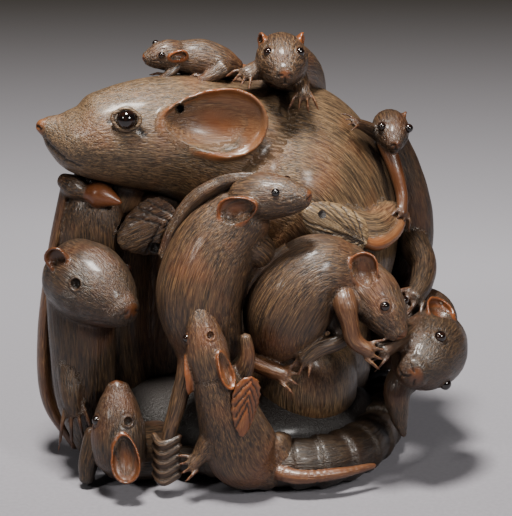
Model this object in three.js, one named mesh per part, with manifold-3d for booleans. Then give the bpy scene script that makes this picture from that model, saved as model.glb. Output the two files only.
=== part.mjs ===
// A boxwood okimono: a large crouching rat with her young climbing over her,
// among leaves and a bean pod, carved from one block of boxwood.
// The eyes are small dark horn beads let into drilled sockets.
// Millimetres, +Z up, the front towards -Y, the origin at the middle of the underside.

import * as THREE from 'three';
import { mergeVertices } from 'three/addons/utils/BufferGeometryUtils.js';
import Module from 'manifold-3d';

const wasm = await Module();
wasm.setup();

// Eye beads and their sockets
const MOTHER_EYE = 2.3;
const TOP_EYE = 1.1;
const YOUNG_EYE = 0.95;
const LARGE_YOUNG_EYE = 1.35;
const SOCKET_GAP = 0.3;

// Mother
const MOTHER_BODY_WIDTH = 1.28;
const TAIL_BAND = 13;
const TAIL_BAND_DIP = 0.14;

// Leaves, ears and toes
const LEAF_THICKNESS = 1.6;
const VEIN = 0.55;
const EAR_WALL = 0.75;
const EAR_TAPER = 0.28;
const TOE = 0.75;
const TOE_PITCH = 2.2;
const FINGER_PITCH = 2.3;
const END_BULGE = 0.7;

// The flat underside
const GROUND = { at: [0, 2, 7], radii: [36, 31, 13] };

const WOOD = new THREE.MeshStandardMaterial({ color: 0x74523a, roughness: 0.45, metalness: 0 });
const HORN = new THREE.MeshStandardMaterial({ color: 0x100c0a, roughness: 0.12, metalness: 0 });

const vec = (p) => new THREE.Vector3(p[0], p[1], p[2]);
const unit = (p) => vec(p).normalize();
const shift = (p, d, amount = 1) => p.map((value, i) => value + d[i] * amount);

// A closed solid from a three.js geometry, its faces turned outwards.
function solid(geometry) {
  geometry.deleteAttribute('normal');
  geometry.deleteAttribute('uv');
  const merged = mergeVertices(geometry, 1e-4);
  const place = merged.attributes.position.array;
  const corner = (i) => new THREE.Vector3().fromArray(place, i * 3);
  const triangles = [];
  let volume = 0;
  for (let i = 0; i < merged.index.count; i += 3) {
    const [a, b, c] = [0, 1, 2].map((k) => merged.index.getX(i + k));
    if (a !== b && b !== c && c !== a) {
      triangles.push([a, b, c]);
      volume += corner(a).dot(corner(b).cross(corner(c)));
    }
  }
  const order = volume < 0 ? (t) => [t[0], t[2], t[1]] : (t) => t;
  return new wasm.Manifold(new wasm.Mesh({
    numProp: 3,
    vertProperties: new Float32Array(place),
    triVerts: new Uint32Array(triangles.flatMap(order)),
  }));
}

const joined = (solids) => solids.reduce((all, one) => all.add(one));

function meshOf(manifold, name, material) {
  const { vertProperties, triVerts } = manifold.getMesh();
  const geometry = new THREE.BufferGeometry();
  geometry.setAttribute('position', new THREE.BufferAttribute(vertProperties, 3));
  geometry.setIndex(new THREE.BufferAttribute(triVerts, 1));
  geometry.computeVertexNormals();
  const mesh = new THREE.Mesh(geometry, material);
  mesh.name = name;
  return mesh;
}

// A round form through stations [x, y, z, radius]: turned on a lathe, one row of points
// for each step along the line, then bent so that the rows follow the line.
// wide and tall scale the section across and along the starting up direction.
function bent(stations, {
  sides = 10, step = 4, wide = 1, tall = 1, up = [0, 0, 1], round = true, band,
} = {}) {
  const line = new THREE.CatmullRomCurve3(stations.map(vec), false, 'centripetal');
  const girth = new THREE.SplineCurve(stations.map((s, i) => new THREE.Vector2(i, s[3])));
  const spans = stations.length - 1;
  const rows = [];
  for (let span = 0; span < spans; span += 1) {
    const long = vec(stations[span]).distanceTo(vec(stations[span + 1]));
    const count = Math.max(1, Math.round(long / step));
    for (let k = 0; k < count; k += 1) rows.push((span + k / count) / spans);
  }
  rows.push(1);
  let across = unit(up);
  const rings = rows.map((t) => {
    const along = line.getTangent(t);
    across = across.clone().addScaledVector(along, -across.dot(along)).normalize();
    const side = along.clone().cross(across);
    return { at: line.getPoint(t), along, across, side, r: girth.getPoint(t).y };
  });
  const end = (ring, sign, out, r) => ({
    ...ring,
    at: ring.at.clone().addScaledVector(ring.along, sign * ring.r * END_BULGE * out),
    r: ring.r * r,
  });
  const cap = (ring, sign) => (round ? [end(ring, sign, 0.7, 0.7)] : []).concat(end(ring, sign, 1, 0));
  const form = [...cap(rings[0], -1).reverse(), ...rings, ...cap(rings[rings.length - 1], 1)];
  if (band) form.forEach((ring, i) => { ring.r *= band(i); });
  const lathe = new THREE.LatheGeometry(form.map((ring, row) => new THREE.Vector2(ring.r, row)), sides);
  const points = lathe.attributes.position;
  for (let i = 0; i < points.count; i += 1) {
    const ring = form[Math.round(points.getY(i))];
    const place = ring.at.clone()
      .addScaledVector(ring.side, points.getX(i) * wide)
      .addScaledVector(ring.across, points.getZ(i) * tall);
    points.setXYZ(i, place.x, place.y, place.z);
  }
  return solid(lathe);
}

// The three directions of a form: long axis, opening or crown, and the side between them.
function frame(long, facing) {
  const z = unit(long);
  const y = vec(facing).addScaledVector(z, -vec(facing).dot(z)).normalize();
  return new THREE.Matrix4().makeBasis(y.clone().cross(z), y, z);
}

function blob(at, radii, { long = [0, 0, 1], facing = [0, -1, 0], sides = 12, rings = 8, taper = 0 } = {}) {
  const ball = new THREE.SphereGeometry(1, sides, rings).rotateX(Math.PI / 2);
  const points = ball.attributes.position;
  for (let i = 0; i < points.count; i += 1) points.setX(i, points.getX(i) * (1 + taper * points.getZ(i)));
  ball.scale(...radii);
  return solid(ball.applyMatrix4(frame(long, facing)).translate(...at));
}

// The space inside an ear, on the side that it opens to.
function earHollow({ at, tip, opens, long, wide, deep = 0.45, sides = 6 }) {
  const thick = wide * deep;
  const middle = shift(shift(at, unit(tip).toArray(), long * 0.425), unit(opens).toArray(), thick * 0.75);
  const radii = [wide / 2 - EAR_WALL, thick, long / 2 - EAR_WALL];
  return blob(middle, radii, { long: tip, facing: opens, sides, rings: sides - 2, taper: EAR_TAPER });
}

// A cupped ear: an egg-shaped shell around its hollow.
function ear(form) {
  const { at, tip, opens, long, wide, deep = 0.45, sides = 6 } = form;
  const middle = shift(at, unit(tip).toArray(), long * 0.425);
  const round = { long: tip, facing: opens, sides, rings: sides - 2, taper: EAR_TAPER };
  return blob(middle, [wide / 2, wide * deep, long / 2], round).subtract(earHollow(form));
}

// Toes fan out from the end of a limb, each ending in a claw.
function toes(at, { ahead, over, length, spread = 0.9, count = 3, thick = TOE }) {
  const forward = unit(ahead);
  const top = unit(over);
  const side = forward.clone().cross(top).normalize();
  return Array.from({ length: count }, (_, i) => {
    const place = count > 1 ? i / (count - 1) - 0.5 : 0;
    const turn = spread * place;
    const way = forward.clone().multiplyScalar(Math.cos(turn)).addScaledVector(side, Math.sin(turn));
    const root = vec(at).addScaledVector(side, place * thick * TOE_PITCH * (count - 1));
    const point = (out, lift, r) => [...root.clone().addScaledVector(way, length * out)
      .addScaledVector(top, length * lift).toArray(), r];
    const stations = [point(-0.35, 0.04, thick), point(1.15, -0.06, thick * 0.6)];
    return bent(stations, { sides: 4, step: length, up: over, round: false });
  });
}

// The head of a young rat, from its blunt nose to the nape, and what sits on it.
const HEAD = [
  [0.05, 0.44, 0],
  [0.22, 0.68, 0.02],
  [0.46, 0.88, 0.05],
  [0.74, 1, 0.04],
  [1, 0.92, 0],
];

function headOf({
  nose, nape, crown, girth, eye = YOUNG_EYE, eyeAt = [0.42, 0.66, 0.58], eyes = ['left', 'right'],
  empty = [], ears = [], earAt = [0.82, 0.66, 0.5], earLong, earWide, earLift, earOut, earFace = 0, sides = 7,
}) {
  const back = vec(nape).sub(vec(nose));
  const length = back.length();
  back.normalize();
  const top = vec(crown).addScaledVector(back, -vec(crown).dot(back)).normalize();
  const left = top.clone().cross(back.clone().negate());
  const place = (t, across, lift) => vec(nose).addScaledVector(back, length * t)
    .addScaledVector(left, girth * across).addScaledVector(top, girth * lift).toArray();
  const stations = HEAD.map(([t, r, lift]) => [...place(t, 0, lift), girth * r]);
  const forms = [bent(stations, { sides, step: length / 3, up: top.toArray() })];
  const hand = { left: 1, right: -1 };
  for (const name of ears) {
    const out = left.clone().multiplyScalar(hand[name]);
    forms.push(ear({
      at: place(earAt[0], earAt[1] * hand[name], earAt[2]),
      tip: back.clone().multiplyScalar(1 - Math.abs(earLift)).addScaledVector(top, earLift)
        .addScaledVector(out, earOut).toArray(),
      opens: out.clone().multiplyScalar(1 - earFace).addScaledVector(top, earFace)
        .addScaledVector(back, -0.3).toArray(),
      long: girth * earLong,
      wide: girth * earWide,
    }));
  }
  const bead = (name) => ({ at: place(eyeAt[0], eyeAt[1] * hand[name], eyeAt[2]), r: eye });
  return {
    forms,
    eyes: eyes.map((name) => ({ name, ...bead(name) })),
    sockets: [...eyes, ...empty].map(bead),
  };
}

// One young rat: body, head, limbs and tail.
function rat({ body, head, limbs = [], tail, sides = 8, step = 10, wide = 1, up }) {
  const parts = headOf(head);
  parts.forms.push(bent(body, { sides, step, wide, up }));
  for (const { line, paw } of limbs) {
    parts.forms.push(bent(line, { sides: 5, step: 12, round: false }));
    if (paw) parts.forms.push(...toes(line[line.length - 1], paw));
  }
  if (tail) parts.forms.push(bent(tail, { sides: 5, step: 9, round: false }));
  return parts;
}

// Mother
function mother() {
  const forms = [];
  const body = [[4, 4, 69, 18], [14, 6, 64, 20], [20, 8, 50, 19.5], [18, 9, 34, 18], [14, 7, 9, 18]];
  forms.push(bent(body, { sides: 16, step: 11, wide: MOTHER_BODY_WIDTH, up: [-1, 0, 0] }));
  const head = [[-43, -14, 81.8, 2.6], [-40.2, -13.6, 80.2, 5.6], [-36, -13, 78.8, 8.6],
    [-30, -11.5, 78.6, 11], [-20, -8, 78.2, 13.3], [-10.5, -4, 76.1, 15.2], [2, 1, 71, 17]];
  forms.push(bent(head, { sides: 12, step: 10 }));
  const belly = [[0, 8, 58, 13], [2, 10, 32, 16], [0, 8, 10, 15]];
  forms.push(bent(belly, { sides: 8, step: 30 }));
  const chest = [[-2, 6, 62, 15], [-12, 9, 44, 13], [-16, 9, 22, 13], [-14, 7, 8, 12]];
  forms.push(bent(chest, { sides: 10, step: 14, wide: 1.3, up: [-1, 0, 0] }));
  const shoulder = [[-24, 0, 66, 9], [-29, -1, 50, 9.6], [-30, -2, 28, 10.4], [-28, 0, 8, 10]];
  forms.push(bent(shoulder, { sides: 9, step: 20 }));
  forms.push(blob([16, 26, 24], [16, 12, 20], { sides: 10, rings: 7 }));
  forms.push(blob([16, -8, 17], [13.5, 15, 17], { sides: 10, rings: 7 }));
  const rim = [[26, -21, 57.4, 1], [33, -17.6, 54, 1.5], [38.4, -10, 55.6, 1.5], [39.6, -3, 60, 1]];
  forms.push(bent(rim, { sides: 5, step: 9 }));
  const fold = [[24, -14, 58, 4.6], [32, -12, 56, 4], [37, -4, 58, 3]];
  forms.push(bent(fold, { sides: 7, step: 9 }));
  const left = {
    at: [-15.4, -18.6, 84], tip: [1, 0.14, -0.06], opens: [0.14, -1, 0.12], long: 25.4, wide: 15.6, deep: 0.3,
    sides: 9,
  };
  forms.push(ear(left));
  forms.push(ear({ ...left, at: [-15, 9.6, 84], tip: [1, 0.1, -0.06], opens: [0.05, 1, 0.25], sides: 6 }));
  const tail = [[12, 32, 9, 6.2], [28, 26, 6, 6], [36, 10, 6, 6], [35, -8, 6, 6], [31, -21, 6, 6.2],
    [24, -30, 6, 6.4], [14, -34, 6, 6.2], [2, -33, 6, 4.8], [-10, -29, 5, 3.4], [-22, -21, 4, 2.4],
    [-32, -8, 2.6, 1.6]];
  const band = (row) => (row % 2 ? 1 : 1 - TAIL_BAND_DIP);
  forms.push(bent(tail, { sides: 6, step: TAIL_BAND / 2, band }));
  const beads = { left: [-24.5, -21, 85.2], right: [-20.6, 4.6, 84.6] };
  const eyes = Object.entries(beads).map(([name, at]) => ({ name, at, r: MOTHER_EYE }));
  return { forms, eyes, sockets: eyes, hollows: [earHollow(left)] };
}

// Young rats on top
const onHead = () => rat({
  body: [[0, 1, 91.6, 2.6], [-3.4, 0, 93.2, 4], [-8, 0, 94.2, 4.7], [-13, -1, 95, 3.8]],
  head: { nose: [-20.8, -3.8, 95.2], nape: [-13.6, -1.4, 95.6], crown: [0, -0.4, 1], girth: 3.7, eye: 0.8,
    ears: ['left'], earAt: [0.66, 0.86, 0.5], earLong: 1.2, earWide: 0.7, earLift: 0.1, earOut: 0.1 },
  limbs: [
    { line: [[-13, -3, 94, 1.6], [-15, -4.8, 92, 1.2], [-16.6, -5.6, 90.8, 1]],
      paw: { ahead: [-1, -0.3, -0.3], over: [0, -0.6, 1], length: 2.2, thick: 0.5 } },
    { line: [[-3, -3, 92.6, 2.4], [-6, -4.8, 91, 1.6], [-8, -5.6, 90.2, 1.1]],
      paw: { ahead: [-1, -0.3, -0.2], over: [0, -0.6, 1], length: 2.2, thick: 0.5 } },
  ],
});

const overTop = () => rat({
  body: [[10.8, 0, 92.5, 5.6], [13, 8, 90, 6.4], [15, 17, 84, 6.8], [16, 26, 74, 6]],
  head: { nose: [11.6, -13, 93.4], nape: [10.8, -2.4, 95.6], crown: [0, 0.2, 1], girth: 6.2, eye: TOP_EYE,
    eyeAt: [0.42, 0.58, 0.62], ears: ['left', 'right'], earLong: 0.6, earWide: 0.6, earLift: 0.4,
    earOut: 0.2 },
  limbs: [
    { line: [[7, -3, 92.6, 2.6], [4, -6, 92.6, 2.1], [2.4, -7.2, 92.2, 1.7]],
      paw: { ahead: [-0.6, -0.6, -0.5], over: [-0.3, -1, 0.8], length: 2.8, thick: 0.6 } },
    { line: [[14, -3, 92, 2.6], [15.6, -7, 89.2, 2], [16, -9.2, 87.6, 1.6]],
      paw: { ahead: [0, -0.5, -1], over: [0.1, -1, 0.5], length: 3, thick: 0.6 } },
  ],
});

const downBack = () => rat({
  body: [[36.6, 8, 74.5, 3.6], [40.6, 10, 64, 4.4], [43, 11, 53, 5], [43, 11, 43, 4.8], [40, 12, 36, 4]],
  head: { nose: [37.8, -5, 74.6], nape: [36.6, 4.6, 77], crown: [0.1, 0.1, 1], girth: 4.4, eye: 1.05,
    eyeAt: [0.4, 0.74, 0.6], ears: ['left'], earLong: 0.6, earWide: 0.6, earLift: 0.3, earOut: 0.2 },
  limbs: [
    { line: [[35.5, 4, 74, 2], [31.4, 0, 77.6, 1.5], [28, -4, 80, 1.1]],
      paw: { ahead: [-0.8, -0.6, 0.2], over: [0.3, -0.5, 1], length: 2.4, thick: 0.5 } },
    { line: [[35.6, 0, 74, 2.2], [37.8, -3, 68.6, 1.8], [39.4, -5, 62.6, 1.5], [39.4, -8, 58.6, 1.3]],
      paw: { ahead: [-0.4, -0.5, -0.9], over: [0.4, -1, 0.1], length: 2.8, thick: 0.6 } },
    { line: [[43, 8, 47, 4], [45, -3, 44.6, 3.2], [44, -12, 42.6, 2.7], [41.8, -18, 41, 2.2]],
      paw: { ahead: [-0.7, -0.6, -0.5], over: [0.2, -0.7, 0.6], length: 4.4, thick: 0.85 } },
  ],
});

// Young rats in front
const right = () => rat({
  body: [[36, 14, 20, 8.5], [41, 3, 28, 8.8], [45, -9, 32, 8.4]],
  head: { nose: [40.6, -36.4, 29.4], nape: [46.6, -19.6, 30.6], crown: [0.87, -0.5, 0.1], girth: 8.9,
    eye: LARGE_YOUNG_EYE, ears: ['right'], earAt: [0.78, 0.8, 0.6], earLong: 1.15, earWide: 0.95,
    earLift: 0.15, earOut: 0.2, earFace: 0.5 },
  limbs: [
    { line: [[45, -19, 36, 3], [41, -27, 36, 2.4], [37.4, -32.4, 35.4, 2], [34, -36, 34.4, 1.6]],
      paw: { ahead: [-1, -0.2, -0.3], over: [0, -0.9, 0.5], length: 3, thick: 0.6 } },
    { line: [[41, -23, 25, 4.4], [38, -26.6, 21.4, 3.4], [38.4, -27.6, 15.6, 2.3],
        [39.6, -28, 10.4, 0.7]] },
  ],
});

const middle = () => rat({
  body: [[11.4, -25, 33, 8.6], [12.6, -28.5, 43, 10.4], [18.6, -28, 50.6, 9.2], [26.4, -26.4, 50, 7]],
  head: { nose: [37.6, -34.6, 38], nape: [29.4, -27.6, 48.4], crown: [0.6, -0.3, 0.7], girth: 6.4,
    eye: 1.1, ears: ['right'], earLong: 1.35, earWide: 1, earLift: 0.35, earOut: 0.1, earFace: 0.3 },
  limbs: [
    { line: [[24.6, -32.4, 48.6, 1.8], [25.2, -35.2, 45.8, 2.8], [26.2, -36.6, 42, 2.2],
        [27.4, -37.2, 37.6, 2], [31, -37.6, 35, 1.6]],
      paw: { ahead: [1, -0.1, -0.2], over: [0, -0.9, 0.5], length: 2.8, thick: 0.65 } },
    { line: [[22.6, -29, 41, 2.8], [24.6, -32, 36.4, 2.2], [19.4, -33.6, 34.4, 2.1],
        [15.8, -34.8, 32, 2]],
      paw: { ahead: [-0.7, -0.5, -0.7], over: [-0.1, -0.8, 0.7], length: 2.6, thick: 0.7 } },
    { line: [[3, -30, 30.4, 2.2], [8, -34, 29.4, 2], [12, -36, 28.6, 1.8]],
      paw: { ahead: [1, -0.3, -0.2], over: [-0.1, -0.8, 0.7], length: 2.6, thick: 0.7 } },
  ],
});

const centre = () => rat({
  body: [[-6, -30, 34, 8], [-8, -30.4, 46, 10], [-4.4, -28.6, 57, 9.6], [1.4, -28, 64.4, 7.6]],
  head: { nose: [16.6, -34.4, 70.6], nape: [2.6, -29, 69], crown: [-0.1, -0.1, 1], girth: 5.6,
    eyeAt: [0.4, 0.66, 0.5], ears: ['right'], earAt: [0.7, 1.1, 0.15], earLong: 1.7, earWide: 1.2,
    earLift: -0.2, earOut: 0.12 },
  limbs: [
    { line: [[0, -30, 60, 5], [5.6, -29, 56.4, 4], [7, -26, 51, 3]] },
    { line: [[-9, -32, 36, 4.6], [-10.8, -36, 30, 2.4], [-13, -38, 22, 2], [-15, -38.6, 15, 1.7],
        [-15.6, -38, 9, 1.7], [-15.4, -38, 3.6, 1.6]] },
  ],
});

const front = () => rat({
  body: [[8, -34, 5, 5.6], [2, -36, 10, 8.6], [-1.6, -39, 21, 7], [-4.6, -40.6, 30, 5]],
  head: { nose: [-8, -38.2, 46.4], nape: [-5, -41, 31], crown: [-0.4, -0.9, 0.1], girth: 4.9,
    eyeAt: [0.42, 0.62, 0.6], eyes: ['left'], empty: ['right'], ears: ['left', 'right'],
    earAt: [0.7, 0.88, 0.56], earLong: 1.9, earWide: 0.85, earLift: -0.05, earOut: 0.12, earFace: 0.25 },
  limbs: [
    { line: [[-5, -40, 14, 3.6], [-8, -41, 10.6, 2], [-9.6, -42, 9, 1.5]],
      paw: { ahead: [-1, -0.3, -0.2], over: [0, -0.8, 0.6], length: 2.6, thick: 0.6 } },
    { line: [[9, -34, 9, 5.6], [12, -36, 6, 3.4]] },
    { line: [[1, -38, 28, 3], [3, -39, 34, 1.9], [2.6, -38.6, 39, 1.4]] },
  ],
  tail: [[9, -38, 6, 2.2], [15, -40.4, 5.4, 1.9], [24, -39.2, 5.8, 1.5], [32.6, -35, 6, 0.8]],
});

const frontLeft = () => rat({
  body: [[-12, -18, 5, 6], [-20, -26, 6, 7], [-26.6, -33, 8.4, 6.4]],
  head: { nose: [-26.8, -33.4, 25.4], nape: [-26.6, -36.6, 9], crown: [-0.3, -1, 0.25], girth: 6.4,
    eye: 1.1, eyeAt: [0.46, 0.6, 0.66], eyes: ['left'], empty: ['right'], ears: ['right'],
    earAt: [0.66, 0.5, 0.9], earLong: 1.8, earWide: 1, earLift: 0.1, earOut: 0.1, earFace: 0.85 },
  limbs: [
    { line: [[-32, -31, 12, 3], [-34, -33, 6, 2.4], [-34.4, -34, 2, 1.8]] },
  ],
});

const left = () => rat({
  body: [[-33, -18, 6, 5.4], [-35.2, -21, 18, 7], [-35.6, -21, 32, 7.8], [-36, -19, 43, 8]],
  head: { nose: [-24.6, -33.4, 43], nape: [-37, -20.6, 48], crown: [0.1, -0.1, 1], girth: 9.4, eye: 1.35,
    eyeAt: [0.54, 0.8, 0.42], eyes: ['left'], empty: ['right'], ears: ['right'], earLong: 0.7,
    earWide: 0.6, earLift: 0.4, earOut: 0.3 },
  limbs: [
    { line: [[-38, -25, 27, 3.6], [-38, -28.4, 21, 2.6], [-37.2, -29, 17, 2]],
      paw: { ahead: [0.1, -0.2, -1], over: [0, -1, 0], length: 7.6, thick: 0.75, spread: 0.5 } },
  ],
});

// A leaf drawn flat, tip along its own +Y, thick enough to stand, with raised veins.
function leaf({ base, tip, faces, wide, veins = 1, holes = [] }) {
  const way = vec(tip).sub(vec(base));
  const long = way.length();
  const half = wide / 2;
  const outline = new THREE.Shape();
  outline.moveTo(0, 0);
  outline.quadraticCurveTo(half * 1.3, long * 0.3, half * 0.85, long * 0.65);
  outline.quadraticCurveTo(half * 0.5, long * 0.95, 0, long);
  outline.quadraticCurveTo(-half * 0.5, long * 0.95, -half * 0.85, long * 0.65);
  outline.quadraticCurveTo(-half * 1.3, long * 0.3, 0, 0);
  for (const [x, y, r] of holes) {
    const hole = new THREE.Path();
    hole.absellipse(x * half, y * long, r, r, 0, Math.PI * 2);
    outline.holes.push(hole);
  }
  const blade = new THREE.ExtrudeGeometry(outline, {
    depth: LEAF_THICKNESS, bevelEnabled: false, curveSegments: 2,
  });
  const stand = frame(way.toArray(), faces);
  const [side, face, along] = [0, 1, 2].map((k) => new THREE.Vector3().setFromMatrixColumn(stand, k));
  const turn = new THREE.Matrix4().makeBasis(side, along, side.clone().cross(along));
  const flat = solid(blade.applyMatrix4(turn).translate(...base));
  const out = side.clone().cross(along);
  const at = (x, y) => vec(base).addScaledVector(side, x).addScaledVector(along, y)
    .addScaledVector(out, out.dot(face) > 0 ? LEAF_THICKNESS : 0).toArray();
  const rib = (a, b) => bent([[...at(...a), VEIN], [...at(...b), VEIN * 0.8]],
    { sides: 4, step: long, round: false });
  const ribs = [rib([0, long * 0.02], [0, long * 0.92])];
  for (let k = 0; k < veins; k += 1) {
    const y = long * (0.12 + 0.2 * k);
    for (const sign of [-1, 1]) ribs.push(rib([0, y], [sign * half * 0.68, y + long * 0.22]));
  }
  return joined([flat, ...ribs]);
}

// Leaves, pod, sheath, strands and the fist that grips a stem
function plants() {
  const strand = (stations) => bent(stations, { sides: 4, step: 9, round: false });
  const finger = (_, i) => bent([[-18.6, -36.6, 14.2 - FINGER_PITCH * i, 0.9],
    [-16.4, -40, 13.2 - FINGER_PITCH * i, 1.1], [-12.4, -38.6, 14.8 - FINGER_PITCH * i, 0.9]],
    { sides: 4, step: 4, round: false });
  return [
    leaf({ base: [-12.5, -18, 61.5], tip: [-27.4, -17, 54], faces: [0, -1, 0.25], wide: 14,
      holes: [[0.4, 0.66, 1.3]] }),
    leaf({ base: [30.6, -22, 55.6], tip: [15.4, -25.4, 65.4], faces: [0.1, -1, 0.3], wide: 12.5, veins: 2,
      holes: [[-0.3, 0.6, 1]] }),
    leaf({ base: [3.8, -45, 32], tip: [1.8, -46.4, 17.5], faces: [0.4, -1, 0.2], wide: 7 }),
    bent([[-40, -13, 68.6, 1.7], [-37.4, -14, 67.2, 2.9], [-34.6, -15, 66.2, 1.6], [-31, -16, 65.8, 2.9],
      [-26, -18, 64.4, 0.5]], { sides: 7, step: 4 }),
    bent([[-39.4, -12, 67, 2.4], [-42.6, -11, 50, 3.4], [-45.2, -11, 30, 4], [-44.6, -12, 14, 4],
      [-38.6, -13, 3, 3]], { sides: 6, step: 14, tall: 0.45, up: [-1, 0, 0] }),
    blob([-32.6, -11, 58], [7.6, 6.5, 8.6], { sides: 8, rings: 6 }),
    bent([[-16, -2, 62, 7], [-19, -15.6, 58, 3.2]], { sides: 6, step: 12 }),
    strand([[-16.4, -27, 53, 1.2], [-13.6, -28, 61, 1.5], [-8.6, -29, 68.6, 1.5], [-1, -30, 73, 1.4],
      [6, -31, 74, 0.8]]),
    strand([[1.6, -29, 42, 1.2], [5, -31, 51, 1.5], [13, -31, 57.6, 0.9]]),
    ...Array.from({ length: 5 }, finger),
  ];
}

const FIGURES = {
  mother, rat_on_head: onHead, rat_over_top: overTop, rat_down_back: downBack, rat_right: right,
  rat_middle: middle, rat_centre: centre, rat_front: front, rat_front_left: frontLeft, rat_left: left,
};

const figures = Object.entries(FIGURES).map(([name, make]) => ({ name, ...make() }));

const below = new THREE.BoxGeometry(200, 200, 60).translate(0, 0, -30);
const sockets = figures.flatMap(({ sockets: found }) => found)
  .map(({ at, r }) => blob(at, [r + SOCKET_GAP, r + SOCKET_GAP, r + SOCKET_GAP], { sides: 6, rings: 4 }));
const hollows = figures.flatMap(({ hollows: found = [] }) => found);
const block = joined([
  ...figures.flatMap(({ forms }) => forms),
  ...plants(),
  blob(GROUND.at, GROUND.radii, { sides: 14, rings: 6 }),
]).subtract(solid(below)).subtract(joined(sockets)).subtract(joined(hollows));

const group = new THREE.Group();
group.add(meshOf(block, 'boxwood_group', WOOD));
for (const { name, eyes } of figures) {
  for (const { name: side, at, r } of eyes) {
    const bead = blob(at, [r, r, r], { sides: 7, rings: 4 });
    group.add(meshOf(bead, `${name}_eye_${side}`, HORN));
  }
}

export default group;
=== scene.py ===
# Boxwood okimono: a mother rat with her young, leaves and a bean pod.
# Places and sizes below are in millimetres, as in the part's source; MM turns them to metres.
import math

import bpy
import numpy as np
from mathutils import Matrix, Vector, kdtree, noise


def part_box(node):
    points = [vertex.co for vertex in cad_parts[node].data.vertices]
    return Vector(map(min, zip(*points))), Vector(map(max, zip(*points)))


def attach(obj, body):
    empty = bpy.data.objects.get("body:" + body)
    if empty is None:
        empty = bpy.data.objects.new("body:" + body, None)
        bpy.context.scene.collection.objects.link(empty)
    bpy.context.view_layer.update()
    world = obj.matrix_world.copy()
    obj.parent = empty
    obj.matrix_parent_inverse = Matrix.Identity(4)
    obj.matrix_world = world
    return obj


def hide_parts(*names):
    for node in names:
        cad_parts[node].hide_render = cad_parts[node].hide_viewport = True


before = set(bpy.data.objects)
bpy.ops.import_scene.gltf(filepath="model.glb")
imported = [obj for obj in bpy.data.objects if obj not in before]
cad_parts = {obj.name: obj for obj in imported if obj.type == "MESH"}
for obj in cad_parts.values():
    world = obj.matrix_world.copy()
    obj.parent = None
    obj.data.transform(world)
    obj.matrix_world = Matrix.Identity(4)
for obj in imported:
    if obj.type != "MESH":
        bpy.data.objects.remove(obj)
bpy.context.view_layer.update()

MM = 0.001

bpy.ops.object.select_all(action="DESELECT")


# Small vector helpers, all in millimetres
def vec(p):
    return np.array(p[:3], dtype=float)


def unit(p):
    p = vec(p)
    return p / np.linalg.norm(p)


def upright(axis, towards):
    towards = vec(towards)
    return unit(towards - axis * towards.dot(axis))


def spline(points, t):
    """Catmull-Rom through the rows of points, t running over 0 to 1 by stations."""
    points = np.asarray(points, dtype=float)
    ends = np.vstack([2 * points[0] - points[1], points, 2 * points[-1] - points[-2]])
    place = np.clip(t, 0, 1) * (len(points) - 1)
    i = np.minimum(place.astype(int), len(points) - 2)
    f = (place - i)[:, None]
    a, b, c, d = ends[i], ends[i + 1], ends[i + 2], ends[i + 3]
    return 0.5 * (2 * b + (c - a) * f + (2 * a - 5 * b + 4 * c - d) * f ** 2
                  + (3 * b - a - 3 * c + d) * f ** 3)


class Line:
    """The middle line of a form, with its girth, its frame at every sample and its length."""

    def __init__(self, stations, up=(0, 0, 1)):
        count = 14 * (len(stations) - 1) + 1
        t = np.linspace(0, 1, count)
        rows = spline(stations, t)
        self.at, self.girth = rows[:, :3], np.maximum(rows[:, 3], 0.05)
        ahead = np.gradient(self.at, axis=0)
        self.ahead = ahead / np.linalg.norm(ahead, axis=1)[:, None]
        across = vec(up)
        rows = []
        for along in self.ahead:
            across = upright(along, across)
            rows.append(across)
        self.across = np.array(rows)
        self.side = np.cross(self.ahead, self.across)
        steps = np.linalg.norm(np.diff(self.at, axis=0), axis=1)
        self.far = np.concatenate([[0], np.cumsum(steps)])

    def lay(self, points):
        """Straightened coordinates of points: across, up and along the line."""
        gaps = ((points[:, None, :] - self.at[None, ::2, :]) ** 2).sum(axis=2)
        near = np.argmin(gaps, axis=1) * 2
        near = np.minimum(near, len(self.at) - 1)
        offset = points - self.at[near]
        along = (offset * self.ahead[near]).sum(axis=1)
        return np.stack([(offset * self.side[near]).sum(axis=1), (offset * self.across[near]).sum(axis=1),
                         self.far[near] + along], axis=1)


# Every form is a primitive that is shaped by its vertices, then joined and remeshed with others.
FORMS = []


def take(obj, line, tone):
    obj["form"] = len(FORMS)
    FORMS.append({"line": line, "tone": tone})
    return obj


def vertices(obj):
    flat = np.empty(len(obj.data.vertices) * 3)
    obj.data.vertices.foreach_get("co", flat)
    return flat.reshape(-1, 3)


def put(obj, points):
    obj.data.vertices.foreach_set("co", np.asarray(points).ravel())
    obj.data.update()


def ball(segments=24, rings=16):
    bpy.ops.mesh.primitive_uv_sphere_add(segments=segments, ring_count=rings, radius=1)
    return bpy.context.active_object


RING = 0.25
END_BULGE = 0.7


def ring_of(around, through):
    """A ring of radius 1 and girth RING."""
    bpy.ops.mesh.primitive_torus_add(major_segments=around, minor_segments=through, major_radius=1,
                                     minor_radius=RING)
    return bpy.context.active_object


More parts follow.
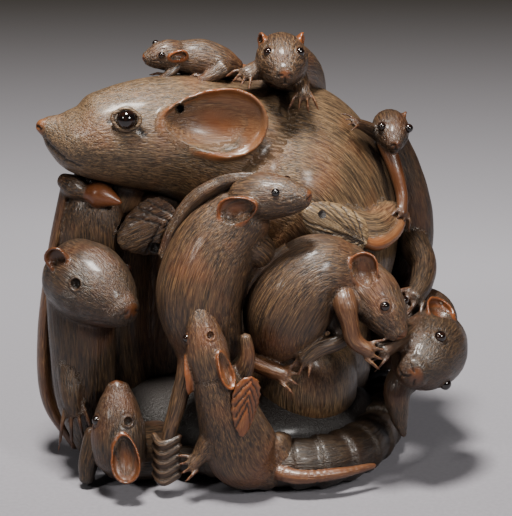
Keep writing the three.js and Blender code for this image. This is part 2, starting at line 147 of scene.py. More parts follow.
def bent(stations, tone=0.0, sides=28, up=(0, 0, 1), wide=1, tall=1, ripple=None):
    """A round form along stations [x, y, z, girth], with domed ends."""
    line = Line(stations, up)
    long = line.far[-1]
    ends = line.girth[0] * END_BULGE, line.girth[-1] * END_BULGE
    rings = int(min(160, max(18, (long + sum(ends)) / 0.7)))
    obj = ball(sides, rings)
    v = vertices(obj)
    height = np.arccos(np.clip(v[:, 2], -1, 1)) / math.pi
    turn = np.arctan2(v[:, 1], v[:, 0])
    far = height * (long + sum(ends)) - ends[0]
    inside = np.clip(far, 0, long)
    rows = [np.interp(inside, line.far, column) for column in (*line.at.T, line.girth, *line.ahead.T,
                                                               *line.across.T, *line.side.T)]
    at, girth = np.array(rows[:3]).T, rows[3]
    ahead, across, side = (np.array(rows[k:k + 3]).T for k in (4, 7, 10))
    over = np.where(far < 0, -far / ends[0], np.where(far > long, (far - long) / ends[1], 0))
    reach = girth * np.sqrt(np.clip(1 - over ** 2, 0, 1))
    if ripple:
        reach = reach * ripple(inside)
    points = (at + ahead * (far - inside)[:, None] + side * (reach * np.cos(turn) * wide)[:, None]
              + across * (reach * np.sin(turn) * tall)[:, None])
    poles = (np.abs(v[:, 2]) > 0.99999)
    points[poles] = (at + ahead * (far - inside)[:, None])[poles]
    put(obj, points)
    return take(obj, line, tone)


def frame_of(long, facing):
    z = unit(long)
    y = upright(z, facing)
    return np.array([np.cross(y, z), y, z])


def blob(at, radii, tone=0.0, long=(0, 0, 1), facing=(0, -1, 0)):
    """An egg with its own radii, its last one along the way it is long."""
    obj = ball(32, 20)
    put(obj, (vertices(obj) * radii) @ frame_of(long, facing) + vec(at))
    ends = [vec(at) - unit(long) * radii[2] * 0.6, vec(at) + unit(long) * radii[2] * 0.6]
    line = Line([[*ends[0], radii[0]], [*ends[1], radii[0]]], facing)
    return take(obj, line, tone)


# Radii of the beads and of their sockets
MOTHER_EYE = 2.3
TOP_EYE = 1.1
YOUNG_EYE = 0.95
LARGE_YOUNG_EYE = 1.35

EAR_TAPER = 0.28


def ear(at, tip, opens, long, wide, deep=0.45, rim=0.42, tone=0.7):
    """A cupped ear: an egg pushed in from its open side, with a rolled rim along the edge."""
    half, across, thick = long / 2, wide / 2, wide * deep
    middle = vec(at) + unit(tip) * half * 0.85
    basis = frame_of(tip, opens)
    cup = ball(40, 24)
    v = vertices(cup)
    v[:, 0] *= 1 + EAR_TAPER * v[:, 2]
    shell = v * [across, thick, half]
    open_side = shell[:, 1] > 0
    shell[open_side, 1] *= -0.55
    shell[:, 1] += thick * 0.12
    put(cup, shell @ basis + middle)
    line = Line([[*(middle - unit(tip) * half), 1], [*(middle + unit(tip) * half), 1]], opens)
    take(cup, line, tone)
    edge = ring_of(56, 10)
    v = vertices(edge)
    turn = np.arctan2(v[:, 1], v[:, 0])
    ring = np.stack([np.cos(turn), np.sin(turn)], axis=1)
    out = (v[:, :2] - ring) / RING * rim
    outline = ring * [across * 0.97, half * 0.97]
    outline[:, 0] *= 1 + EAR_TAPER * ring[:, 1]
    shape = np.stack([outline[:, 0] + out[:, 0], v[:, 2] / RING * rim + thick * 0.1,
                      outline[:, 1] + out[:, 1]], axis=1)
    put(edge, shape @ basis + middle)
    take(edge, line, 1.0)
    return [cup, edge]


def hollow_of(at, tip, opens, long, wide, deep=0.45, rim=0.42):
    """The space inside a cupped ear: its middle, its directions and its radii."""
    basis = frame_of(tip, opens)
    middle = vec(at) + unit(tip) * long * 0.425 + basis[1] * wide * deep * 0.48
    return middle, basis, np.array([wide / 2 - rim * 1.6, wide * deep, long / 2 - rim * 1.6])


TOE_PITCH = 2.2


def toes(at, ahead, over, length, spread=0.9, count=4, thick=0.75, tone=0.4):
    forward, top = unit(ahead), upright(unit(ahead), over)
    side = np.cross(forward, top)
    made = []
    for i in range(count):
        share = i / max(1, count - 1) - 0.5
        way = forward * math.cos(spread * share) + side * math.sin(spread * share)
        root = vec(at) + side * share * thick * TOE_PITCH * (count - 1)

        def point(out, lift, girth):
            return [*(root + way * length * out + top * length * lift), thick * girth]

        made.append(bent([point(-0.35, 0, 0.8), point(0.3, 0.14, 0.78), point(0.62, 0.06, 0.7),
                          point(0.9, -0.04, 0.74)], tone, sides=12))
        claw = [point(0.9, 0, 0.5), point(1.15, -0.04, 0.4), point(1.35, -0.16, 0.2)]
        made.append(bent(claw, 0.5, sides=10))
    return made


HEAD = [[0.05, 0.44, 0], [0.22, 0.68, 0.02], [0.46, 0.88, 0.05], [0.74, 1, 0.04], [1, 0.92, 0]]
HAND = {"left": 1, "right": -1}


def head_of(nose, nape, crown, girth, eye=YOUNG_EYE, eye_at=(0.42, 0.66, 0.58), eyes=("left", "right"),
            empty=(), ears=(), ear_at=(0.82, 0.66, 0.5), ear_long=1.5, ear_wide=0.95, ear_lift=0.3,
            ear_out=0.35, ear_face=0.0):
    """A young rat's head from its nose to its nape; places are shares of its length and its girth."""
    back = vec(nape) - vec(nose)
    length = np.linalg.norm(back)
    back /= length
    top = upright(back, crown)
    left = np.cross(top, -back)

    def place(t, across, lift):
        return vec(nose) + back * length * t + left * girth * across + top * girth * lift

    stations = [[*place(t, 0, lift), girth * r] for t, r, lift in HEAD]
    forms = [bent(stations, up=top, sides=36)]
    forms.append(blob(place(-0.01, 0, 0.14), [girth * 0.24, girth * 0.18, girth * 0.18], 0.8,
                      long=back, facing=top))
    forms.append(bent([[*place(0.1, 0, -0.34), girth * 0.2], [*place(0.3, 0, -0.4), girth * 0.34],
                       [*place(0.6, 0, -0.42), girth * 0.5]], 0.1, up=top))
    for name in ("left", "right"):
        sign = HAND[name]
        forms.append(blob(place(0.16, 0.2 * sign, -0.06), [girth * 0.34, girth * 0.32, girth * 0.4], 0.2,
                          long=back, facing=top))
        forms.append(blob(place(0.62, 0.5 * sign, -0.1), [girth * 0.46, girth * 0.5, length * 0.24], 0.0,
                          long=back, facing=top))
    lids, holes, cups = [], [], []
    for name in (*eyes, *empty):
        sign = HAND[name]
        at = place(eye_at[0], eye_at[1] * sign, eye_at[2])
        lids.append((at, eye))
        if name in empty:
            holes.append((at, eye * 1.05))
    for name in ears:
        out = left * HAND[name]
        shape = {"at": place(ear_at[0], ear_at[1] * HAND[name], ear_at[2]),
                 "tip": back * (1 - abs(ear_lift)) + top * ear_lift + out * ear_out,
                 "opens": out * (1 - ear_face) + top * ear_face - back * 0.3,
                 "long": girth * ear_long, "wide": girth * ear_wide, "rim": 0.26 + girth * 0.02}
        forms += ear(**shape)
        if min(ear_long, ear_wide) > 0.65:
            cups.append((shape, 0.75))
    lines = []
    for sign in (1, -1):
        lines.append(([place(-0.04, 0.02 * sign, -0.24), place(0.08, 0.34 * sign, -0.34),
                       place(0.26, 0.56 * sign, -0.36)], 0.35, 0.45))
        lines.append(([place(-0.1, 0.12 * sign, 0.12), place(-0.02, 0.24 * sign, 0.04)], 0.28, 0.4))
        for k in range(3):
            lines.append(([place(0.1, 0.46 * sign, 0.14 - 0.14 * k),
                           place(0.34, 0.72 * sign, 0.2 - 0.22 * k)], 0.18, 0.16))
    lines.append(([place(-0.1, 0, 0.02), place(-0.06, 0, -0.26)], 0.28, 0.4))
    return {"forms": forms, "lids": lids, "holes": holes, "lines": lines, "cups": cups}


def rat(body, head, limbs=(), tail=None):
    """A young rat: head, body, limbs with their paws, and a tail where it shows."""
    parts = head_of(**head)
    parts["forms"].append(bent(body, sides=40))
    for limb in limbs:
        parts["forms"].append(bent(limb["line"], limb.get("tone", 0.12), sides=20))
        if "paw" in limb:
            parts["forms"] += toes(limb["line"][-1][:3], **limb["paw"])
    if tail:
        parts["forms"].append(bent(tail, 0.55, sides=20, ripple=beads))
    return parts


TAIL_BEAD = 1.3
TAIL_BAND = 6.5


def beads(far):
    """Small beads along a young rat's tail."""
    return 0.78 + 0.2 * np.abs(np.sin(far * math.pi / TAIL_BEAD))


# Mother
MOTHER_BODY_WIDTH = 1.28
EAR_HOLE = 1.15


def tail_bands(far):
    """Overlapping bands: each swells towards its far edge and steps down to the next."""
    share = (far / TAIL_BAND) % 1
    return 0.83 + 0.18 * share ** 0.7


def mother():
    """The mother without her tail and eyelids."""
    body = [[4, 4, 69, 18], [14, 6, 64, 20], [20, 8, 50, 19.5], [18, 9, 34, 18], [14, 7, 9, 18]]
    head = [[-43, -14, 81.8, 2.6], [-40.2, -13.6, 80.2, 5.6], [-36, -13, 78.8, 8.6], [-30, -11.5, 78.6, 11],
            [-20, -8, 78.2, 13.3], [-10.5, -4, 76.1, 15.2], [2, 1, 71, 17]]
    belly = [[0, 8, 58, 13], [2, 10, 32, 16], [0, 8, 10, 15]]
    chest = [[-2, 6, 62, 15], [-12, 9, 44, 13], [-16, 9, 22, 13], [-14, 7, 8, 12]]
    shoulder = [[-24, 0, 66, 9], [-29, -1, 50, 9.6], [-30, -2, 28, 10.4], [-28, 0, 8, 10]]
    back = [[-9, 10, 6, 17], [-9, 12, 34, 18], [-6, 10, 60, 14]]
    rim = [[26, -21, 57.4, 1], [33, -17.6, 54, 1.5], [38.4, -10, 55.6, 1.5], [39.6, -3, 60, 1]]
    fold = [[24, -14, 58, 4.6], [32, -12, 56, 4], [37, -4, 58, 3]]
    forms = [
        bent(belly, sides=40),
        bent(body, sides=64, wide=MOTHER_BODY_WIDTH, up=(-1, 0, 0)),
        bent(head, sides=56),
        # The chest and shoulder are painted near black as shade in the hollow under the head.
        bent(chest, -0.8, sides=40, wide=1.3, up=(-1, 0, 0)),
        bent(shoulder, -0.8, sides=40),
        bent(back, sides=56, wide=1.5, up=(0, -1, 0)),
        blob([16, 26, 24], [16, 12, 20]),
        blob([-44.2, -14.6, 81.8], [1.7, 1.7, 2], 0.9),
        blob([16, -8, 17], [13.5, 15, 17]),
        bent(rim, 0.75, sides=16),
        bent(fold),
    ]
    left = {"at": [-15.4, -18.6, 84], "tip": [1, 0.14, -0.06], "opens": [0.14, -1, 0.12], "long": 25.4,
            "wide": 15.6, "deep": 0.3, "rim": 0.6}
    forms += ear(**left)
    forms += ear(**{**left, "at": [-15, 9.6, 84], "tip": [1, 0.1, -0.06], "opens": [0.05, 1, 0.25]})
    lids = [([-24.5, -21, 85.2], MOTHER_EYE), ([-20.6, 4.6, 84.6], MOTHER_EYE)]
    lines = []
    for k in range(9):
        start = [-39 + 0.5 * k, -20 - 0.4 * k, 81 - 0.9 * k]
        end = [-33 + 1.4 * k - 0.1 * k * k, -24, 86.6 - 2.1 * k]
        lines.append(([start, end], 0.3, 0.12))
    lines.append(([[-44.6, -17, 78.6], [-41, -20, 75.6], [-36, -22, 72.6]], 0.5, 0.5))
    lines.append(([[-46.4, -16, 82.6], [-45.2, -17.6, 81.8]], 0.4, 0.5))
    lines.append(([[-27.4, -23, 86], [-29, -23, 86.4]], 0.5, 0.5))
    lines.append(([[-21.4, -23, 83.4], [-19.6, -23, 82]], 0.5, 0.5))
    cups = [(left, 0.9)]
    return {"forms": forms, "lids": lids, "lines": lines, "cups": cups,
            "holes": [([-12.4, -18.6, 87.2], EAR_HOLE), ([-12.4, -17, 86.7], EAR_HOLE),
                      ([-12.4, -15.4, 86.2], EAR_HOLE)]}


def mother_eyelids():
    """A thin almond rim round each of the mother's eyes."""
    forms = []
    for at, facing in (([-24.5, -21, 85.2], [-0.25, -0.95, 0.2]), ([-20.6, 4.6, 84.6], [-0.3, 0.92, 0.3])):
        rim = ring_of(72, 14)
        v = vertices(rim)
        turn = np.arctan2(v[:, 1], v[:, 0])
        reach = np.linalg.norm(v[:, :2], axis=1) - 1
        length = MOTHER_EYE * (1.08 + 0.3 * np.abs(np.cos(turn)) ** 6) + reach * 2.2
        basis = frame_of([1, 0, -0.12], facing)
        shape = np.stack([np.sin(turn) * length, v[:, 2] * 2.2 + 0.35, np.cos(turn) * length], axis=1)
        put(rim, shape @ basis + vec(at))
        line = Line([[*(vec(at) - basis[2]), 1], [*(vec(at) + basis[2]), 1]], facing)
        forms.append(take(rim, line, 0.3))
    return {"forms": forms, "lids": [], "holes": [], "lines": []}


def mother_tail():
    """The tail that lies round the front, thick at its root behind and thin at its end."""
    tail = [[12, 32, 9, 6.2], [28, 26, 6, 6], [36, 10, 6, 6], [35, -8, 6, 6], [31, -21, 6, 6.2],
            [24, -30, 6, 6.4], [14, -34, 6, 6.2], [2, -33, 6, 4.8], [-10, -29, 5, 3.4],
            [-22, -21, 4, 2.4], [-32, -8, 2.6, 1.6]]
    return {"forms": [bent(tail, -0.8, sides=48, ripple=tail_bands)], "lids": [], "holes": [], "lines": []}


# Young rats on top
def on_head():
    return rat(
        body=[[0, 1, 91.6, 2.6], [-3.4, 0, 93.2, 4], [-8, 0, 94.2, 4.7], [-13, -1, 95, 3.8]],
        head=dict(nose=[-20.8, -3.8, 95.2], nape=[-13.6, -1.4, 95.6], crown=[0, -0.4, 1], girth=3.7,
          eye=0.8, ears=["left"], ear_at=[0.66, 0.86, 0.5], ear_long=1.2, ear_wide=0.7, ear_lift=0.1,
          ear_out=0.1),
        limbs=[
            dict(line=[[-13, -3, 94, 1.6], [-15, -4.8, 92, 1.2], [-16.6, -5.6, 90.8, 1]],
                 paw=dict(ahead=[-1, -0.3, -0.3], over=[0, -0.6, 1], length=2.2, thick=0.5)),
            dict(line=[[-3, -3, 92.6, 2.4], [-6, -4.8, 91, 1.6], [-8, -5.6, 90.2, 1.1]],
                 paw=dict(ahead=[-1, -0.3, -0.2], over=[0, -0.6, 1], length=2.2, thick=0.5)),
        ],
    )


def over_top():
    return rat(
        body=[[10.8, 0, 92.5, 5.6], [13, 8, 90, 6.4], [15, 17, 84, 6.8], [16, 26, 74, 6]],
        head=dict(nose=[11.6, -13, 93.4], nape=[10.8, -2.4, 95.6], crown=[0, 0.2, 1], girth=6.2,
          eye=TOP_EYE, eye_at=[0.42, 0.58, 0.62], ears=["left", "right"], ear_long=0.6, ear_wide=0.6,
          ear_lift=0.4, ear_out=0.2),
        limbs=[
            dict(line=[[7, -3, 92.6, 2.6], [4, -6, 92.6, 2.1], [2.4, -7.2, 92.2, 1.7]], tone=0.1,
                 paw=dict(ahead=[-0.6, -0.6, -0.5], over=[-0.3, -1, 0.8], length=2.8, thick=0.6)),
            dict(line=[[14, -3, 92, 2.6], [15.6, -7, 89.2, 2], [16, -9.2, 87.6, 1.6]], tone=0.1,
                 paw=dict(ahead=[0, -0.5, -1], over=[0.1, -1, 0.5], length=3, thick=0.6)),
        ],
    )


def down_back():
    return rat(
        body=[[36.6, 8, 74.5, 3.6], [40.6, 10, 64, 4.4], [43, 11, 53, 5], [43, 11, 43, 4.8],
          [40, 12, 36, 4]],
        head=dict(nose=[37.8, -5, 74.6], nape=[36.6, 4.6, 77], crown=[0.1, 0.1, 1], girth=4.4, eye=1.05,
          eye_at=[0.4, 0.74, 0.6], ears=["left"], ear_long=0.6, ear_wide=0.6, ear_lift=0.3, ear_out=0.2),
        limbs=[
            dict(line=[[35.5, 4, 74, 2], [31.4, 0, 77.6, 1.5], [28, -4, 80, 1.1]], tone=0.3,
                 paw=dict(ahead=[-0.8, -0.6, 0.2], over=[0.3, -0.5, 1], length=2.4, thick=0.5)),
            dict(line=[[35.6, 0, 74, 2.2], [37.8, -3, 68.6, 1.8], [39.4, -5, 62.6, 1.5],
              [39.4, -8, 58.6, 1.3]], tone=0.7,
                 paw=dict(ahead=[-0.4, -0.5, -0.9], over=[0.4, -1, 0.1], length=2.8, thick=0.6)),
            dict(line=[[43, 8, 47, 4], [45, -3, 44.6, 3.2], [44, -12, 42.6, 2.7],
              [41.8, -18, 41, 2.2]],
                 paw=dict(ahead=[-0.7, -0.6, -0.5], over=[0.2, -0.7, 0.6], length=4.4, thick=0.85)),
        ],
    )


# Young rats in front
def right():
    return rat(
        body=[[36, 14, 20, 8.5], [41, 3, 28, 8.8], [45, -9, 32, 8.4]],
        head=dict(nose=[40.6, -36.4, 29.4], nape=[46.6, -19.6, 30.6], crown=[0.87, -0.5, 0.1], girth=8.9,
          eye=LARGE_YOUNG_EYE, ears=["right"], ear_at=[0.78, 0.8, 0.25], ear_long=0.95, ear_wide=0.8,
          ear_lift=0.05, ear_out=0.2, ear_face=0.5),
        limbs=[
            dict(line=[[45, -19, 36, 3], [41, -27, 36, 2.4], [37.4, -32.4, 35.4, 2],
              [34, -36, 34.4, 1.6]],
                 paw=dict(ahead=[-1, -0.2, -0.3], over=[0, -0.9, 0.5], length=3, thick=0.6)),
            dict(line=[[41, -23, 25, 4.4], [38, -26.6, 21.4, 3.4], [38.4, -27.6, 15.6, 2.3],
              [39.6, -28, 10.4, 0.7]], tone=0.25),
        ],
    )


def middle():
    return rat(
        body=[[11.4, -25, 33, 8.6], [12.6, -28.5, 43, 10.4], [18.6, -28, 50.6, 9.2], [26.4, -26.4, 50, 7]],
        head=dict(nose=[37.6, -34.6, 38], nape=[29.4, -27.6, 48.4], crown=[0.6, -0.3, 0.7], girth=6.4,
          eye=1.1, ears=["right"], ear_long=1.35, ear_wide=1, ear_lift=0.35, ear_out=0.1, ear_face=0.3),
        limbs=[
            dict(line=[[24.6, -32.4, 48.6, 1.8], [25.2, -35.2, 45.8, 2.8], [26.2, -36.6, 42, 2.2],
              [27.4, -37.2, 37.6, 2], [31, -37.6, 35, 1.6]], tone=0.45,
                 paw=dict(ahead=[1, -0.1, -0.2], over=[0, -0.9, 0.5], length=2.8, thick=0.65)),
            dict(line=[[22.6, -29, 41, 2.8], [24.6, -32, 36.4, 2.2], [19.4, -33.6, 34.4, 2.1],
              [15.8, -34.8, 32, 2]], tone=0.2,
                 paw=dict(ahead=[-0.7, -0.5, -0.7], over=[-0.1, -0.8, 0.7], length=2.6, thick=0.7)),
            dict(line=[[3, -30, 30.4, 2.2], [8, -34, 29.4, 2], [12, -36, 28.6, 1.8]], tone=0.45,
                 paw=dict(ahead=[1, -0.3, -0.2], over=[-0.1, -0.8, 0.7], length=2.6, thick=0.7)),
        ],
    )


def centre():
    return rat(
        body=[[-6, -30, 34, 8], [-8, -30.4, 46, 10], [-4.4, -28.6, 57, 9.6], [1.4, -28, 64.4, 7.6]],
        head=dict(nose=[16.6, -34.4, 70.6], nape=[2.6, -29, 69], crown=[-0.1, -0.1, 1], girth=5.6,
          eye_at=[0.4, 0.66, 0.5], ears=["right"], ear_at=[0.7, 1.1, 0.15], ear_long=1.7, ear_wide=1.2,
          ear_lift=-0.2, ear_out=0.12),
        limbs=[
            dict(line=[[0, -30, 60, 5], [5.6, -29, 56.4, 4], [7, -26, 51, 3]]),
            dict(line=[[-9, -32, 36, 4.6], [-10.8, -36, 30, 2.4], [-13, -38, 22, 2],
              [-15, -38.6, 15, 1.7], [-15.6, -38, 9, 1.7], [-15.4, -38, 3.6, 1.6]], tone=0.3),
        ],
    )


def front():
    return rat(
        body=[[8, -34, 5, 5.6], [2, -36, 10, 8.6], [-1.6, -39, 21, 7], [-4.6, -40.6, 30, 5]],
        head=dict(nose=[-8, -38.2, 46.4], nape=[-5, -41, 31], crown=[-0.4, -0.9, 0.1], girth=4.9,
          eye_at=[0.42, 0.62, 0.6], eyes=["left"], empty=["right"], ears=["left", "right"],
          ear_at=[0.7, 0.88, 0.56], ear_long=1.9, ear_wide=0.85, ear_lift=-0.05, ear_out=0.12,
          ear_face=0.25),
        limbs=[
            dict(line=[[-5, -40, 14, 3.6], [-8, -41, 10.6, 2], [-9.6, -42, 9, 1.5]],
                 paw=dict(ahead=[-1, -0.3, -0.2], over=[0, -0.8, 0.6], length=2.6, thick=0.6)),
            dict(line=[[9, -34, 9, 5.6], [12, -36, 6, 3.4]], tone=0.1),
            dict(line=[[1, -38, 28, 3], [3, -39, 34, 1.9], [2.6, -38.6, 39, 1.4]], tone=0.3),
        ],
        tail=[[9, -38, 6, 2.2], [15, -40.4, 5.4, 1.9], [24, -39.2, 5.8, 1.5], [32.6, -35, 6, 0.8]],
    )


def front_left():
    return rat(
        body=[[-12, -18, 5, 6], [-20, -26, 6, 7], [-26.6, -33, 8.4, 6.4]],
        head=dict(nose=[-26.8, -33.4, 25.4], nape=[-26.6, -36.6, 9], crown=[-0.3, -1, 0.25], girth=6.4,
          eye=1.1, eye_at=[0.46, 0.6, 0.66], eyes=["left"], empty=["right"], ears=["right"],
          ear_at=[0.66, 0.5, 0.9], ear_long=1.8, ear_wide=1, ear_lift=0.1, ear_out=0.1, ear_face=0.85),
        limbs=[
            dict(line=[[-32, -31, 12, 3], [-34, -33, 6, 2.4], [-34.4, -34, 2, 1.8]]),
        ],
    )


def left():
    return rat(
        body=[[-33, -18, 6, 5.4], [-35.2, -21, 18, 7], [-35.6, -21, 32, 7.8], [-36, -19, 43, 8]],
        head=dict(nose=[-24.6, -33.4, 43], nape=[-37, -20.6, 48], crown=[0.1, -0.1, 1], girth=9.4,
          eye=LARGE_YOUNG_EYE, eye_at=[0.54, 0.8, 0.42], eyes=["left"], empty=["right"], ears=["right"],
          ear_long=0.7, ear_wide=0.6, ear_lift=0.4, ear_out=0.3),
        limbs=[
            dict(line=[[-38, -25, 27, 3.6], [-38, -28.4, 21, 2.6], [-37.2, -29, 17, 2]],
                 paw=dict(ahead=[0.1, -0.2, -1], over=[0, -1, 0], length=7.6, thick=0.75, spread=0.5)),
        ],
    )


# Leaves, pod, sheath and strands
LEAF_THICKNESS = 1.6


def leaf(base, tip, faces, wide, veins=4, curl=0.12, fan=0.13, tone=0.0, teeth=0.0):
    """A leaf blade swollen from a ball, with a raised midrib and grooved veins."""
    way = vec(tip) - vec(base)
    long = np.linalg.norm(way)
    along = way / long
    face = upright(along, faces)
    side = np.cross(along, face)
    middle = (vec(base) + vec(tip)) / 2
    thick = LEAF_THICKNESS
    obj = ball(64, 48)
    v = vertices(obj)
    share = (v[:, 2] + 1) / 2
    breadth = wide / 2 * (1.15 - 0.5 * share) * (1 + teeth * np.abs(np.sin(share * 24)))
    lift = -curl * wide * v[:, 0] ** 2
    put(obj, middle + along * (v[:, 2] * long / 2)[:, None] + side * (v[:, 0] * breadth)[:, None]
        + face * (v[:, 1] * thick / 2 + lift)[:, None])
    line = Line([[*vec(base), 1], [*vec(tip), 1]], faces)
    forms = [take(obj, line, tone)]
    forms.append(bent([[*(vec(base) + face * thick * 0.4), 0.45], [*(vec(tip) + face * thick * 0.1), 0.25]],
                      tone + 0.25, sides=12))
    lines = []
    for k in range(veins):
        start = vec(base) + along * long * (0.05 + fan * k) + face * thick / 2
        for sign in (1, -1):
            end = vec(base) + along * long * (0.36 + 0.16 * k) + side * sign * wide * (0.5 - 0.07 * k)
            lines.append(([start, end], 0.34, 0.4))
    return {"forms": forms, "lids": [], "holes": [], "lines": lines}


def strand(stations, count=5, apart=0.85):
    """Locks of long hair lying side by side."""
    made = []
    for k in range(count):
        shift = (k - (count - 1) / 2) * apart
        rows = [[x - shift * 0.6, y + abs(shift) * 0.5, z + shift * 0.7, girth * (0.42 - 0.05 * abs(shift))]
                for x, y, z, girth in stations]
        made.append(bent(rows, 0.2, sides=14))
    return made


FINGER_PITCH = 2.3


def fist():
    """Curled fingers, one above the other, that grip a stem."""
    made = []
    for k in range(5):
        drop = FINGER_PITCH * k
        made.append(bent([[-18.6, -36.6, 14.2 - drop, 0.9], [-16.4, -40, 13.2 - drop, 1.1],
                          [-12.4, -38.6, 14.8 - drop, 0.9]], -0.2, sides=16))
    return made


def pale_leaf():
    made = leaf([30.6, -22, 55.6], [15.4, -25.4, 65.4], [0.1, -1, 0.3], 12.5, veins=5, fan=0.03)
    return {**made, "holes": [([20.4, -25.4, 64], 1.2)]}


def plants():
    small = leaf([3.8, -45, 32], [1.8, -46.4, 17.5], [0.4, -1, 0.2], 7, curl=0.2, tone=0.7, teeth=0.16)
    torn = leaf([-12.5, -18, 61.5], [-27.4, -17, 54], [0, -1, 0.25], 14, veins=3, teeth=0.1)
    bites = [([-18.5, -19, 53.4], 1.6), ([-22.6, -19, 51.4], 1.5)]
    forms = small["forms"] + torn["forms"] + [
        bent([[-40, -13, 68.6, 1.7], [-37.4, -14, 67.2, 2.9], [-34.6, -15, 66.2, 1.6]], 0.1),
        bent([[-34.6, -15, 66.2, 1.6], [-31, -16, 65.8, 2.9], [-26, -18, 64.4, 0.5]], 0.8),
        # A filler blob painted near black as shade in a gap behind the pod.
        blob([-33.5, -9.5, 66], [5, 4, 5], -0.7),
        bent([[-39.4, -12, 67, 2.4], [-42.6, -11, 50, 3.4], [-45.2, -11, 30, 4], [-44.6, -12, 14, 4],
              [-38.6, -13, 3, 3]], 0.4, tall=0.45, up=(-1, 0, 0)),
        blob([-33.4, -11, 55], [8.2, 6.5, 12]),
        # A filler form painted near black as shade in a gap.
        bent([[-16, -2, 62, 7], [-19, -15.6, 58, 3.2]], -0.8),
    ]
    forms += strand([[-16.4, -27, 53, 1.2], [-13.6, -28, 61, 1.5], [-8.6, -29, 68.6, 1.5],
                     [-1, -30, 73, 1.4], [6, -31, 74, 0.8]])
    forms += strand([[1.6, -29, 42, 1.2], [5, -31, 51, 1.5], [13, -31, 57.6, 0.9]])
    forms += fist()
    return {"forms": forms, "lids": [], "holes": bites, "lines": small["lines"] + torn["lines"]}


def ground():
    # A base that fills in under the figures, painted black as shade.
    return {"forms": [blob([0, -5, 7], [35, 24, 13], -1.0)], "lids": [], "holes": [], "lines": []}


# Sculpting: join, remesh, cut the sockets, engrave the lines and lay the fur
def modifier(obj, kind, **settings):
    made = obj.modifiers.new(kind.title(), kind)
    for name, value in settings.items():
        setattr(made, name, value)
    bpy.context.view_layer.objects.active = obj
    bpy.ops.object.modifier_apply(modifier=made.name)


def cut_out(whole, cutter):
    cutter.select_set(False)
    modifier(whole, "BOOLEAN", operation="DIFFERENCE", object=cutter, solver="EXACT")
    bpy.data.objects.remove(cutter)


def join(forms):
    for obj in forms:
        marks = obj.data.attributes.new("form", "INT", "POINT")
        marks.data.foreach_set("value", [obj["form"]] * len(obj.data.vertices))
        del obj["form"]
    bpy.ops.object.select_all(action="DESELECT")
    for obj in forms:
        obj.select_set(True)
    bpy.context.view_layer.objects.active = forms[0]
    bpy.ops.object.join()
    return bpy.context.active_object


def edges_of(obj):
    flat = np.empty(len(obj.data.edges) * 2, dtype=np.int64)
    obj.data.edges.foreach_get("vertices", flat)
    return flat.reshape(-1, 2)


def blurred(values, edges, rounds):
    """Each value moved towards the mean of its neighbours, a number of times."""
    many = np.bincount(edges.ravel(), minlength=len(values))[:, None] + 1e-9
    values = values.reshape(len(values), -1).astype(float)
    for _ in range(rounds):
        total = np.zeros_like(values)
        for column in range(values.shape[1]):
            total[:, column] = (np.bincount(edges[:, 0], values[edges[:, 1], column], len(values))
                                + np.bincount(edges[:, 1], values[edges[:, 0], column], len(values)))
        values = 0.5 * values + 0.5 * total / many
    return values


def normals_of(obj):
    flat = np.empty(len(obj.data.vertices) * 3)
    obj.data.vertices.foreach_get("normal", flat)
    return flat.reshape(-1, 3)


def to_line(points, line):
    """Distance of points from a drawn line."""
    line = np.asarray([vec(p) for p in line])
    best = np.full(len(points), np.inf)
    for a, b in zip(line[:-1], line[1:]):
        way = b - a
        t = np.clip(((points - a) @ way) / max(way.dot(way), 1e-9), 0, 1)
        best = np.minimum(best, np.linalg.norm(points - a - t[:, None] * way, axis=1))
    return best


def snapped(line, tree, points, count=14):
    """The drawn line laid down on the surface."""
    t = np.linspace(0, 1, count)
    rows = spline([vec(p) for p in line], t) if len(line) > 2 else (
        vec(line[0]) + (vec(line[1]) - vec(line[0])) * t[:, None])
    return [points[tree.find(Vector(row))[1]] for row in rows]


def tree_of(points):
    tree = kdtree.KDTree(len(points))
    for i, p in enumerate(points):
        tree.insert(p, i)
    tree.balance()
    return tree


FLOAT_KINDS = {1: "FLOAT", 3: "FLOAT_VECTOR"}


def keep(obj, name, values):
    values = np.asarray(values, dtype=np.float32).reshape(len(obj.data.vertices), -1)
    kind = FLOAT_KINDS[values.shape[1]]
    made = obj.data.attributes.new(name, kind, "POINT")
    made.data.foreach_set("value" if kind == "FLOAT" else "vector", values.ravel())


def lay_of(points, marks):
    lay = np.zeros_like(points)
    for form in np.unique(marks):
        chosen = np.nonzero(marks == form)[0]
        for chunk in np.array_split(chosen, len(chosen) // 40000 + 1):
            lay[chunk] = FORMS[form]["line"].lay(points[chunk])
    return lay


# Width of an eyelid, and the strokes of the fur: their size across and along it, and their depth
LID = 0.3
STROKE_ACROSS = 0.55
STROKE_ALONG = 4.0
STROKE_DEPTH = 0.07
SMOOTHING = 4


